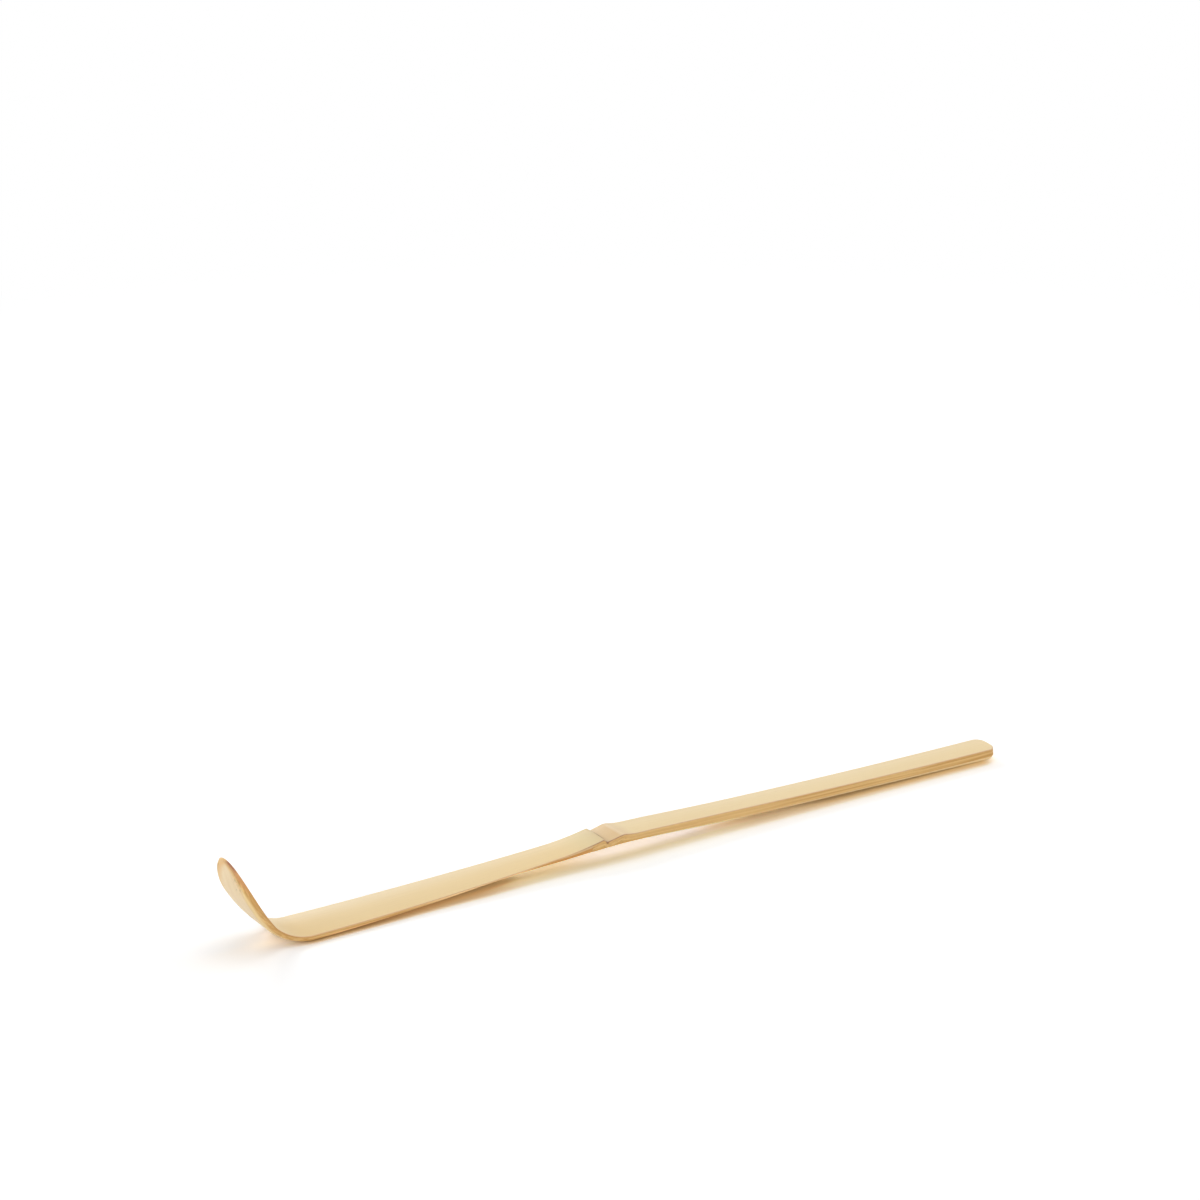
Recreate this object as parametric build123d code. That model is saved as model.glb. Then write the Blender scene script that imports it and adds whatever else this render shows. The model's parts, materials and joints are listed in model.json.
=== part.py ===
from build123d import *
import os
from math import cos, radians, sin, sqrt, tan
from typing import NamedTuple

# A bamboo tea scoop, in millimetres. It is carved from a single strip of a culm: the skin of the
# bamboo is the face, the carved flesh is the underside. The strip is split where the bamboo itself
# changes: scoop blade, heel bend, front shaft, node and handle. X runs from the scoop's tip to the
# handle's end, Z is up, and the scoop rests on its heel and on the end of its handle.


class Cut(NamedTuple):
    """A cross-section of the strip, measured below the edges of its face."""

    width: float  # across the face
    side: float  # height of the upright side
    drop: float  # how far the underside bevel falls below the side
    bevel: float  # how far the underside bevel reaches in


# The culm that the strip was split from: its roundness crowns the face
culm_radius = 35.0

# Lengths along the strip, from the start of the bend to the end of the handle
heel_length = 7.45
front_length = 50.25
scar_ramp = 10.0
groove_width = 0.7
ridge_ramp = 3.4
ridge_fall = 2.5
ridge_tail = 5.4
handle_length = 85.5

# Heights of the face along the strip
front_rise = 2.05
front_curve = 1.72
scar_rise = 1.41
groove_depth = 0.7
ridge_height = 0.85
ridge_drop = 0.5
tail_drop = 0.07

# The scoop: a tight bend, then a blade that curves gently to a round tip and is nearly flat across
bend_radius = 10.0
bend_turn = 51.0
waist_turn = 36.5
blade_radius = 46.5
blade_length = 16.35
tip_length = 8.4
blade_width = 13.0
waist_lean = 32.0
blade_lean = 36.5
waist_across = 65.0
blade_across = 300.0
waist_thickness = 1.25
blade_thickness = 1.56
tip_thickness = 0.45
scoop_drop = 0.1
scoop_bevel = 0.3

# Cross-sections along the strip
waist_width = 9.4
heel_cut = Cut(width=10.8, side=0.9, drop=0.2, bevel=0.9)
heel_end_cut = Cut(width=10.55, side=0.8, drop=0.25, bevel=1.3)
front_cut = Cut(width=9.55, side=0.45, drop=0.8, bevel=2.2)
front_neck_cut = Cut(width=8.15, side=0.25, drop=1.0, bevel=2.0)
node_start_cut = Cut(width=7.45, side=0.7, drop=0.5, bevel=1.2)
scar_cut = Cut(width=7.0, side=1.85, drop=0.3, bevel=0.8)
ridge_cut = Cut(width=6.95, side=1.9, drop=0.3, bevel=0.8)
ridge_foot_cut = Cut(width=6.8, side=1.45, drop=0.3, bevel=0.8)
node_end_cut = Cut(width=6.6, side=1.5, drop=0.45, bevel=0.7)
neck_cut = Cut(width=6.05, side=1.7, drop=0.45, bevel=0.5)
handle_cut = Cut(width=6.2, side=1.6, drop=0.55, bevel=0.6)
end_cut = Cut(width=6.47, side=1.6, drop=0.9, bevel=0.7)

# Where the middle sections stand, as shares of the front shaft, the node's swelling and the handle
front_share = 0.41
front_neck_share = 0.8
swell_share = 0.5
neck_share = 0.22
handle_share = 0.52

# The two flats that the scoop rests on, and the trimmed end of the handle
rest_depth = 0.06
end_corner = 1.9
end_bulge = 0.3
end_bevel = 0.4

# Stock left on a blank where a later cut trims it
spare = 1.0

# Places along the strip, with X counted from the start of the bend
front_start = heel_length
node_start = front_start + front_length
scar_x = node_start + scar_ramp
groove_x = scar_x + groove_width
ridge_x = groove_x + ridge_ramp
ridge_foot_x = ridge_x + ridge_fall
node_end = ridge_foot_x + ridge_tail
handle_end = node_end + handle_length

# Heights of the face at those places
heel_face = heel_cut.side + heel_cut.drop - rest_depth
node_start_face = heel_face + front_rise
scar_face = node_start_face + scar_rise
groove_face = scar_face - groove_depth
ridge_face = groove_face + ridge_height
ridge_foot_face = ridge_face - ridge_drop
node_end_face = ridge_foot_face - tail_drop
end_face = end_cut.side + end_cut.drop - rest_depth

# Places along the scoop, measured round the bend
bend_length = bend_radius * radians(bend_turn)
waist_at = bend_radius * radians(waist_turn)
tip_at = bend_length + blade_length
widest_at = tip_at - tip_length


def front_face(x):
    """Height of the face between the start of the bend and the node."""
    return heel_face + front_rise * (x / node_start) ** front_curve


def handle_face(x):
    """Height of the face along the handle, which ends level."""
    return end_face + (node_end_face - end_face) * ((handle_end - x) / handle_length) ** 2


def crown(width, radius):
    """How far the middle of a face of this width stands above its edges."""
    return radius - sqrt(radius**2 - (width / 2) ** 2)


def section(place, cut, rise, lean=0):
    """A cross-section on a plane whose X runs across the strip and whose Y points out of its face."""
    half = cut.width / 2
    side_foot = half - cut.side * tan(radians(lean))
    back_half = side_foot - cut.bevel
    depth = cut.side + cut.drop
    outline = [
        ThreePointArc((-half, 0), (0, rise), (half, 0)),
        Line((half, 0), (side_foot, -cut.side)),
        Line((side_foot, -cut.side), (back_half, -depth)),
        Line((back_half, -depth), (-back_half, -depth)),
        Line((-back_half, -depth), (-side_foot, -cut.side)),
        Line((-side_foot, -cut.side), (-half, 0)),
    ]
    return place * make_face(outline)


def shaft_section(x, face, cut):
    """An upright section of the shaft, crowned like the culm."""
    place = Plane(origin=(x, 0, face), x_dir=(0, 1, 0), z_dir=(1, 0, 0))
    return section(place, cut, crown(cut.width, culm_radius))


def scoop_place(along):
    """The point on the scoop's face at this distance round the bend, and the angle it has turned."""
    turn = min(along, bend_length) / bend_radius
    x = -bend_radius * sin(turn)
    z = heel_face + bend_radius * (1 - cos(turn))
    if along > bend_length:
        start = turn
        turn += (along - bend_length) / blade_radius
        x -= blade_radius * (sin(turn) - sin(start))
        z += blade_radius * (cos(start) - cos(turn))
    return Vector(x, 0, z), turn


def scoop_section(along, cut, rise, lean=0, sink=0):
    """A section square to the scoop's face, with sides that lean in and edges sunk below the face line."""
    point, turn = scoop_place(along)
    out = Vector(sin(turn), 0, cos(turn))
    place = Plane(origin=point - out * sink, x_dir=(0, 1, 0), z_dir=(cos(turn), 0, -sin(turn)))
    return section(place, cut, rise, lean)


def scoop_cut(width, thickness):
    """A section of the scoop, with the corners of its back broken."""
    return Cut(width, thickness - scoop_drop, scoop_drop, scoop_bevel)


def between(first, last, share):
    """A section part of the way from one section to another."""
    return Cut(*[a + (b - a) * share for a, b in zip(first, last)])


def above_floor(piece):
    """Cuts the flat that a piece rests on."""
    reach = 4 * handle_end
    return piece - Pos(0, 0, -reach / 2) * Box(reach, reach, reach)


def halfway(first, last):
    """The middle of two values."""
    return (first + last) / 2


waist_cut = scoop_cut(waist_width, waist_thickness)
waist_rise = crown(waist_width, waist_across)


def blade_outline(view, depth):
    """The blade at this depth, seen square to its face: a waist that flares into a round tip."""
    shrink = depth * tan(radians(blade_lean))
    waist_y, widest_y, tip_y = [
        view.to_local_coords(scoop_place(along)[0]).Y for along in (waist_at, widest_at, tip_at)
    ]
    waist_half = waist_width / 2 - depth * tan(radians(waist_lean))
    blade_half = blade_width / 2 - shrink
    tip_reach = tip_y - widest_y - shrink
    low_y = waist_y - blade_thickness - spare
    up = (0, 1)
    down = (0, -1)
    outline = [
        Line((-waist_half, low_y), (waist_half, low_y)),
        Line((waist_half, low_y), (waist_half, waist_y)),
        Spline((waist_half, waist_y), (blade_half, widest_y), tangents=[up, up]),
        EllipticalCenterArc((0, widest_y), blade_half, tip_reach, arc_size=180),
        Spline((-blade_half, widest_y), (-waist_half, waist_y), tangents=[down, down]),
        Line((-waist_half, waist_y), (-waist_half, low_y)),
    ]
    return view * make_face(outline)


def blade_stock():
    """The space that the blade is trimmed to, upright over its face and leaning in below it."""
    middle, turn = scoop_place(halfway(waist_at, tip_at))
    view = Plane(origin=middle, x_dir=(0, 1, 0), z_dir=(sin(turn), 0, cos(turn)))
    depth = 3 * blade_thickness
    face = blade_outline(view, 0)
    back = blade_outline(view.offset(-depth), depth)
    return extrude(face, blade_width) + loft([back, face])


def blank_section(along, thickness, width, across):
    """A section of the blade's blank: wider than the blade, and as round across its face."""
    blank_width = blade_width + 2 * spare
    rise = crown(blank_width, across)
    sink = rise - crown(width, across)
    return scoop_section(along, scoop_cut(blank_width, thickness - sink), rise, sink=sink)


def scoop_blade():
    """The blade: a blank along the scoop's curve, thinned to its tip and trimmed to its outline."""
    mid_thickness = halfway(waist_thickness, blade_thickness)
    thin = halfway(blade_thickness, tip_thickness)
    blank = loft(
        [
            blank_section(waist_at, waist_thickness, waist_width, waist_across),
            blank_section(bend_length, mid_thickness, blade_width, blade_across),
            blank_section(halfway(bend_length, widest_at), blade_thickness, blade_width, blade_across),
            blank_section(widest_at, blade_thickness, blade_width, blade_across),
            blank_section(halfway(widest_at, tip_at), thin, blade_width, blade_across),
            blank_section(tip_at + spare, tip_thickness, blade_width, blade_across),
        ]
    )
    return blank & blade_stock()


def heel_bend():
    """The bend, and the flat heel behind it that the scoop rests on."""
    heel_rise = crown(heel_cut.width, culm_radius)
    steps = 4
    sections = []
    for step in range(steps + 1):
        share = step / steps
        rise = heel_rise + (waist_rise - heel_rise) * share
        cut = between(heel_cut, waist_cut, share)
        sections.append(scoop_section(waist_at * share, cut, rise, waist_lean * share))
    bend = loft(sections)
    heel = loft(
        [
            shaft_section(0, heel_face, heel_cut),
            shaft_section(heel_length, front_face(heel_length), heel_end_cut),
        ]
    )
    return above_floor(bend + heel)


def front_shaft():
    """The tapering internode between the heel and the node, thin at its edges."""
    stations = [
        (0, heel_end_cut),
        (front_share, front_cut),
        (front_neck_share, front_neck_cut),
        (1, node_start_cut),
    ]
    sections = []
    for share, cut in stations:
        x = front_start + front_length * share
        sections.append(shaft_section(x, front_face(x), cut))
    return above_floor(loft(sections))


def node():
    """The joint of the culm: a swelling up to the sheath scar, its groove, and the ridge behind it."""
    groove_cut = scar_cut._replace(side=scar_cut.side - groove_depth)
    start = shaft_section(node_start, node_start_face, node_start_cut)
    scar = shaft_section(scar_x, scar_face, scar_cut)
    groove = shaft_section(groove_x, groove_face, groove_cut)
    ridge = shaft_section(ridge_x, ridge_face, ridge_cut)
    foot = shaft_section(ridge_foot_x, ridge_foot_face, ridge_foot_cut)
    end = shaft_section(node_end, node_end_face, node_end_cut)
    swell_x = node_start + scar_ramp * swell_share
    swell_face = node_start_face + scar_rise * halfway(swell_share, swell_share**2)
    swell = shaft_section(swell_x, swell_face, between(node_start_cut, scar_cut, swell_share**2))
    swelling = loft([start, swell, scar])
    step = loft([scar, groove])
    rise = loft([groove, ridge])
    fall = loft([ridge, foot])
    tail = loft([foot, end])
    return swelling + step + rise + fall + tail


def end_stock():
    """What is trimmed off the end of the handle, which bulges a little between its round corners."""
    past_end = handle_end + spare
    half = end_cut.width / 2
    start_x = handle_end - end_bulge - end_corner
    corner_x = handle_end - end_bulge
    outline = [
        ThreePointArc((corner_x, -half), (handle_end, 0), (corner_x, half)),
        Line((corner_x, half), (start_x, half)),
        Line((start_x, half), (start_x, -half)),
        Line((start_x, -half), (corner_x, -half)),
    ]
    kept = make_face(outline)
    kept = fillet(kept.vertices().group_by(Axis.X)[-1], end_corner)
    block_length = past_end - start_x
    block = Pos(past_end - block_length / 2, 0) * Rectangle(block_length, 2 * end_cut.width)
    corners = Pos(0, 0, -spare) * extrude(block - kept, end_face + 3 * spare)
    wedge = Polyline(
        (handle_end - end_bevel - spare, -spare),
        (past_end, -spare),
        (past_end, end_bevel + spare),
        close=True,
    )
    lower_edge = extrude(Plane.XZ * make_face(wedge), end_cut.width, both=True)
    return corners + lower_edge


def handle():
    """The second internode: a slim neck behind the node, and a trimmed end that rests on the floor."""
    stations = [
        (0, node_end_cut),
        (neck_share, neck_cut),
        (handle_share, handle_cut),
        (1, end_cut),
    ]
    sections = []
    for share, cut in stations:
        x = node_end + handle_length * share
        sections.append(shaft_section(x, handle_face(x), cut))
    sections.append(shaft_section(handle_end + spare, end_face, end_cut))
    return above_floor(loft(sections)) - end_stock()


pieces = {
    "scoop_blade": scoop_blade(),
    "heel_bend": heel_bend(),
    "front_shaft": front_shaft(),
    "bamboo_node": node(),
    "handle": handle(),
}

# The origin goes on the floor, halfway between the tip and the end of the handle
box = Compound(list(pieces.values())).bounding_box()
to_origin = Pos(-box.center().X, 0, 0)

os.makedirs("parts", exist_ok=True)
for name, piece in pieces.items():
    export_step(to_origin * piece, os.path.join("parts", name + ".step"))

print("length, width, height:", [round(size, 2) for size in box.size])
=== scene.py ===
"""A bamboo tea scoop on a white floor. It is one carved strip: the culm's skin is its face, the cut
walls of the culm show at its edges, and the pale carved flesh is its back. The strip's surface is built
ring by ring from the tip to the end of the handle, and cut into one piece for each of its zones."""

import json
import math
from collections import namedtuple
from functools import reduce

import bpy
import numpy as np
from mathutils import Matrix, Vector

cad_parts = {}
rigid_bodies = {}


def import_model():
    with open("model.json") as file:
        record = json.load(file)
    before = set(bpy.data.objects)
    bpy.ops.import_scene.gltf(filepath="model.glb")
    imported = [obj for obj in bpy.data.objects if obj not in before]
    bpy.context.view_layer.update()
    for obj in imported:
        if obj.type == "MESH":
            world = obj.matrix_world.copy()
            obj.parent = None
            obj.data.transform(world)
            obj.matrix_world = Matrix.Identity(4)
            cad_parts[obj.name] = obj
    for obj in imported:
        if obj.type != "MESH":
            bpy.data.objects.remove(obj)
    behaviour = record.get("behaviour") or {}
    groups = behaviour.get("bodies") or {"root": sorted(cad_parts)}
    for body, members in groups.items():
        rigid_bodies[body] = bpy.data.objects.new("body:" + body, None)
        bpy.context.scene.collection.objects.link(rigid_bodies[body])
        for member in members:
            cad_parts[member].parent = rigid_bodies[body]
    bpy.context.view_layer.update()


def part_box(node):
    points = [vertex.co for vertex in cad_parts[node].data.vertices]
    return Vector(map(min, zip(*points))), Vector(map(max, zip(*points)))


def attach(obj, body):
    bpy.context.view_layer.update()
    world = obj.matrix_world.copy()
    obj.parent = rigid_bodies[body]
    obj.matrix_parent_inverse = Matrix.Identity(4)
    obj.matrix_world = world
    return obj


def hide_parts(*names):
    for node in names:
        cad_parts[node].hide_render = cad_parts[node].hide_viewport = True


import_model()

mm = 0.001

# The culm that the strip was split from: its roundness crowns the face
culm_radius = 35.0 * mm

# Lengths along the strip
heel_length = 7.45 * mm
scar_ramp = 10.0 * mm
groove_width = 0.7 * mm
ridge_ramp = 3.4 * mm
ridge_fall = 2.5 * mm

# Heights of the face
heel_face = 1.04 * mm
front_rise = 2.05 * mm
front_curve = 1.72
scar_rise = 1.41 * mm
groove_depth = 0.7 * mm
ridge_height = 0.85 * mm
ridge_drop = 0.5 * mm
tail_drop = 0.07 * mm
end_face = 2.44 * mm

# The scoop: a tight bend, then a blade that curves gently to a round tip
bend_radius = 10.0 * mm
bend_turn = math.radians(51.0)
waist_turn = math.radians(36.5)
blade_radius = 46.5 * mm
blade_length = 16.35 * mm
tip_length = 8.4 * mm
waist_width = 9.4 * mm
blade_width = 13.0 * mm
waist_lean = math.tan(math.radians(32.0))
blade_lean = math.tan(math.radians(36.5))
waist_rise = 0.18 * mm
blade_rise = 0.06 * mm
waist_thickness = 1.25 * mm
blade_thickness = 1.56 * mm
tip_thickness = 0.45 * mm
scoop_drop = 0.1 * mm
scoop_bevel = 0.3 * mm

# The trimmed end of the handle: it bulges, and its far corner is cut back more than its near one
far_corner = 2.05 * mm
near_corner = 1.7 * mm
end_half = 3.235 * mm
end_bulge = 0.3 * mm
end_lean = 0.14
end_bevel = 0.4 * mm

# The node's ridge slants: it is this much nearer the handle at the near edge than at the far one
ridge_skew = 0.7 * mm
skew_depth = 1.2 * mm

# The near side was shaved up to the node, under its upper edge, and the cut ends in a small step
shave_length = 14.0 * mm
shave_end_gap = 2.75 * mm
shave_depth = 0.08 * mm
shave_edge = 0.3 * mm
shave_slope = 0.12 * mm

# Places of carved sections between the ends of the front and of the handle, as shares of their lengths
front_share = 0.41
front_neck_share = 0.8
neck_share = 0.22
handle_share = 0.52

# How far the carved corners are worn round: at the face, under the side, and at the back
face_round = 0.08 * mm
side_round = 0.1 * mm
back_round = 0.14 * mm

# How far the face is worn round along the strip, at the node and where the handle starts
scar_round = 0.14 * mm
groove_round = 0.16 * mm
ridge_round = 0.8 * mm
foot_round = 1.7 * mm
tail_round = 2.5 * mm

# Points round a ring: across the face and the back, and down each side
across_count = 27
corner_count = 4
side_count = 6
side_crowd = 1.5
bevel_count = 4
side_rows = 3 * corner_count + side_count + bevel_count - 1
loop_count = 2 * across_count + 2 * side_rows - 2
across = (1 - np.cos(np.linspace(0, math.pi, across_count))) / 2

# The pieces of the strip, and the nodes that they stand for
nodes = {
    "carved_blade": "scoop_blade",
    "carved_bend": "heel_bend",
    "carved_front": "front_shaft",
    "carved_node": "bamboo_node",
    "carved_handle": "handle",
}

# The surfaces of the strip, in the order of its materials
skin_surface, side_surface, back_surface = 0, 1, 2

# The flat map of each piece: the share of it that the strip's length takes, and the gap beside that
map_length = 0.94
map_gap = 0.01

# The floor, which sends light back to the strip as a pale grey
floor_reach = 4.0
floor_gap = 0.02 * mm
floor_grey = (0.8, 0.8, 0.8, 1)

# To the camera the floor's tone is painted shade that follows how much of the sky is free within this
# reach: from the darkest gap to the open floor, which is white
floor_shade_reach = 30.0 * mm
floor_shade_samples = 12
open_floor = (1.15, 1.15, 1.19, 1)
floor_shades = [
    (0.0, (1.52, 1.55, 1.95, 1)),
    (0.2, (1.47, 1.49, 1.76, 1)),
    (0.3, (1.45, 1.32, 1.1, 1)),
    (0.36, (1.38, 1.24, 1.0, 1)),
    (0.46, (1.34, 1.18, 0.95, 1)),
    (0.55, (1.2, 1.04, 0.8, 1)),
    (0.61, (1.12, 0.98, 0.77, 1)),
    (0.66, (0.97, 0.84, 0.62, 1)),
    (0.72, (1.05, 0.94, 0.77, 1)),
    (0.78, (1.12, 1.05, 0.94, 1)),
    (0.83, (1.21, 1.19, 1.14, 1)),
    (0.9, (1.26, 1.26, 1.28, 1)),
    (0.95, (1.26, 1.26, 1.3, 1)),
    (1.0, open_floor),
]

# The painted shade of single places. Each range goes from where a tone starts to where it is full: along
# the strip, towards the far side, or in openness to the sky. Each stretch goes on to where it ebbs and has
# ebbed

# Painted shade in the gaps under the front and the handle: tan, where the one under the node is nearly white
front_gap = (1.4, 1.19, 0.88, 1)
front_gap_range = (-3 * mm, -18 * mm)
handle_gap = (1.8, 1.5, 1.15, 1)
handle_gap_range = (13 * mm, 27 * mm)
gap_sky = (0.55, 0.3)

# A painted brown shade lies along the low edges of the front and, fainter, of the handle
painted_edge_shade = (0.85, 0.62, 0.36, 1)
edge_shade_sky = (0.9, 0.68)
front_edge_shade = 0.8
front_edge_shade_range = (-24 * mm, -38 * mm)
handle_edge_shade = 0.5
handle_edge_shade_range = (14 * mm, 34 * mm)

# Where the strip all but touches the floor, at the heel and under the handle, a brown contact shadow is
# painted
painted_contact_shadow = (0.98, 0.73, 0.43, 1)
contact_reach = 1.4 * mm
contact_samples = 8
contact_free = (1, 0.7)
heel_contact_stretch = (-79 * mm, -72 * mm, -10 * mm, 0)
handle_contact_range = (36 * mm, 52 * mm)

# Before the heel a dark shade is painted
heel_shade = (0.68, 0.46, 0.24, 1)
heel_shade_sky = (0.96, 0.68)
heel_shade_stretch = (-80 * mm, -75 * mm, -66 * mm, -46 * mm)
heel_shade_side = (-3 * mm, -5 * mm)

# Under the scoop, left of the heel, the painted shade is paler and less warm, on its near side and its far
# one
near_scoop_shades = [
    (0.0, (1.38, 1.28, 1.24, 1)),
    (0.28, (1.38, 1.26, 1.18, 1)),
    (0.4, (1.22, 1.14, 1.06, 1)),
    (0.55, (1.05, 1.0, 1.0, 1)),
    (0.72, (1.08, 1.06, 1.08, 1)),
    (0.88, (1.13, 1.12, 1.14, 1)),
    (1.0, open_floor),
]
far_scoop_shades = [
    (0.0, (1.36, 1.28, 1.25, 1)),
    (0.19, (1.3, 1.22, 1.19, 1)),
    (0.27, (1.12, 1.06, 1.06, 1)),
    (0.35, (1.04, 1.0, 1.01, 1)),
    (0.55, (1.02, 1.01, 1.05, 1)),
    (0.72, (1.02, 1.05, 1.12, 1)),
    (0.88, (1.13, 1.12, 1.16, 1)),
    (1.0, open_floor),
]
scoop_shade_range = (-74 * mm, -82 * mm)
far_scoop_range = (-1.5 * mm, 0.5 * mm)

# At the end of the handle the painted shade all but fades
end_shades = [
    (0.0, (1.6, 1.55, 1.5, 1)),
    (0.6, (1.5, 1.46, 1.42, 1)),
    (0.85, (1.3, 1.3, 1.32, 1)),
    (1.0, open_floor),
]
end_shade_range = (86.5 * mm, 90.5 * mm)

# Away from the strip the floor fades into the plain white behind it
white = (1, 1, 1, 1)
white_range = (0.15, 0.4)

# The light: a soft even fill, and lamps this far off. Each lamp's row: name, azimuth and elevation in
# degrees, share of the light on the floor, width and height in metres, and colour
fill_colour = (1, 0.98, 0.94, 1)
fill_share = 0.34
cool = (0.97, 1, 1)
warm = (1, 0.93, 0.8)
lamp_distance = 0.9
lamps = [
    ("top", 60, 76, 0.15, 0.5, 0.5, cool),
    ("right_back", 28, 45, 0.07, 0.5, 0.5, cool),
    ("left_back", 157, 38, 0.07, 0.5, 0.4, cool),
    ("back", 92, 26, 0.17, 0.6, 0.2, cool),
    ("left", 182, 15, 0.05, 0.5, 0.25, cool),
    ("right", 350, 24, 0.08, 0.5, 0.3, cool),
    ("front", 252, 12, 0.08, 0.6, 0.2, warm),
]

# The camera: its sensor and lens in millimetres, the point that it stands a metre from, and the azimuth and
# elevation of its place from there and of its own back
camera_sensor = 36
camera_lens = 148.86
camera_clip = 0.01
camera_point = (-0.828 * mm, 0, 0.112 * mm)
camera_place = (-122.333, 24.172)
camera_back = (-122.067, 21.316)

# Places along the strip
heel_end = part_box("front_shaft")[0].x
node_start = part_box("bamboo_node")[0].x
node_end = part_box("handle")[0].x
handle_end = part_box("handle")[1].x
bend_start = heel_end - heel_length
scar_x = node_start + scar_ramp
groove_x = scar_x + groove_width
ridge_x = groove_x + ridge_ramp
ridge_foot_x = ridge_x + ridge_fall

# Heights of the face at those places
node_start_face = heel_face + front_rise
scar_face = node_start_face + scar_rise
groove_face = scar_face - groove_depth
ridge_face = groove_face + ridge_height
ridge_foot_face = ridge_face - ridge_drop
node_end_face = ridge_foot_face - tail_drop

# Places along the scoop, measured round the bend
bend_length = bend_radius * bend_turn
waist_at = bend_radius * waist_turn
tip_at = bend_length + blade_length
widest_at = tip_at - tip_length


def smooth_through(places, values, at):
    """The value at a place, on a smooth curve through the given ones that never overshoots them."""
    steps = np.diff(places)
    slopes = np.diff(values) / steps
    tangents = np.zeros(len(values))
    tangents[0] = slopes[0]
    tangents[-1] = slopes[-1]
    for i in range(1, len(slopes)):
        before, after = slopes[i - 1], slopes[i]
        if before * after > 0:
            tangents[i] = 2 * before * after / (before + after)
    i = int(np.clip(np.searchsorted(places, at, side="right") - 1, 0, len(steps) - 1))
    t = (at - places[i]) / steps[i]
    start = (1 + 2 * t) * (1 - t) ** 2 * values[i] + t * (1 - t) ** 2 * steps[i] * tangents[i]
    finish = t**2 * (3 - 2 * t) * values[i + 1] + t**2 * (t - 1) * steps[i] * tangents[i + 1]
    return start + finish


def blend(first, last, share):
    """A value part of the way from one to another."""
    return first + (last - first) * share


def plain_face(x):
    """Height of the face's edges along the shaft, before it is worn."""
    if x < node_start:
        return heel_face + front_rise * ((x - bend_start) / (node_start - bend_start)) ** front_curve
    if x < scar_x:
        t = (x - node_start) / scar_ramp
        return node_start_face + scar_rise * (t + t**2) / 2
    if x < node_end:
        places = [scar_x, groove_x, ridge_x, ridge_foot_x, node_end]
        heights = [scar_face, groove_face, ridge_face, ridge_foot_face, node_end_face]
        return float(np.interp(x, places, heights))
    t = (handle_end - x) / (handle_end - node_end)
    return end_face + (node_end_face - end_face) * t**2


def face_height(x):
    """Height of the face's edges along the shaft, with each corner worn to a short parabola."""
    height = plain_face(x)
    corners = [
        (scar_x, scar_round),
        (groove_x, groove_round),
        (ridge_x, ridge_round),
        (ridge_foot_x, foot_round),
        (node_end, tail_round),
    ]
    nudge = 0.01 * mm
    for place, reach in corners:
        off = abs(x - place)
        if off < reach:
            before = (plain_face(place) - plain_face(place - nudge)) / nudge
            after = (plain_face(place + nudge) - plain_face(place)) / nudge
            height += (after - before) * (reach - off) ** 2 / (4 * reach)
    return height


# The carved sections of the shaft. Each row: place, then in millimetres the width, the height of the upright
# side, and the drop and reach of the bevel under it
carved = [
    (bend_start, 10.8, 0.9, 0.2, 0.9),
    (heel_end, 10.55, 0.8, 0.25, 1.3),
    (blend(heel_end, node_start, front_share), 9.55, 0.45, 0.8, 2.2),
    (blend(heel_end, node_start, front_neck_share), 8.15, 0.25, 1.0, 2.0),
    (node_start, 7.45, 0.7, 0.5, 1.2),
    (scar_x, 7.0, 1.85, 0.3, 0.8),
    (ridge_x, 6.95, 1.9, 0.3, 0.8),
    (ridge_foot_x, 6.8, 1.45, 0.3, 0.8),
    (node_end, 6.6, 1.5, 0.45, 0.7),
    (blend(node_end, handle_end, neck_share), 6.05, 1.7, 0.45, 0.5),
    (blend(node_end, handle_end, handle_share), 6.2, 1.6, 0.55, 0.6),
    (handle_end, 6.47, 1.6, 0.9, 0.7),
]
carved_places = [row[0] for row in carved]
carved_widths = [row[1] * mm for row in carved]
carved_feet = [plain_face(row[0]) - row[2] * mm for row in carved]
carved_backs = [plain_face(row[0]) - (row[2] + row[3]) * mm for row in carved]
carved_bevels = [row[4] * mm for row in carved]


class Section(namedtuple("Section", "half side drop bevel lean rise")):
    """A section of the strip: half width, upright side, drop and reach of the bevel, lean of the side,
    and how far the middle of the face stands above its edges."""

    def lift(self, y):
        """Height of the face at y, above its edges."""
        return self.rise * (1 - (y / self.half) ** 2)


def shaft_section(x):
    """The section of the shaft at x, carved flat where it would reach into the floor."""
    half = smooth_through(carved_places, carved_widths, x) / 2
    foot = smooth_through(carved_places, carved_feet, x)
    back = max(smooth_through(carved_places, carved_backs, x), 0)
    bevel = smooth_through(carved_places, carved_bevels, x)
    rise = culm_radius - math.sqrt(culm_radius**2 - half**2)
    return Section(half, face_height(x) - foot, foot - back, bevel, 0, rise)


def scoop_point(along):
    """The point of the scoop's face at this distance round the bend, and the angle it has turned."""
    turn = min(along, bend_length) / bend_radius
    x = bend_start - bend_radius * math.sin(turn)
    z = heel_face + bend_radius * (1 - math.cos(turn))
    if along > bend_length:
        start = turn
        turn += (along - bend_length) / blade_radius
        x -= blade_radius * (math.sin(turn) - math.sin(start))
        z += blade_radius * (math.cos(start) - math.cos(turn))
    return np.array([x, 0, z]), turn


# The blade's outline is drawn square to the middle of its face. This turns distances round the bend into
# distances on that drawing, and back
blade_middle, blade_turn = scoop_point((waist_at + tip_at) / 2)
blade_up = np.array([-math.cos(blade_turn), 0, math.sin(blade_turn)])
blade_steps = 300
blade_alongs = np.linspace(0, tip_at, blade_steps)
blade_drawn = np.array([(scoop_point(a)[0] - blade_middle) @ blade_up for a in blade_alongs])


def drawn(along):
    """The place on the drawing of a distance round the bend."""
    return float(np.interp(along, blade_alongs, blade_drawn))


def along_from(place):
    """The distance round the bend of a place on the drawing."""
    return float(np.interp(place, blade_drawn, blade_alongs))


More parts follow.
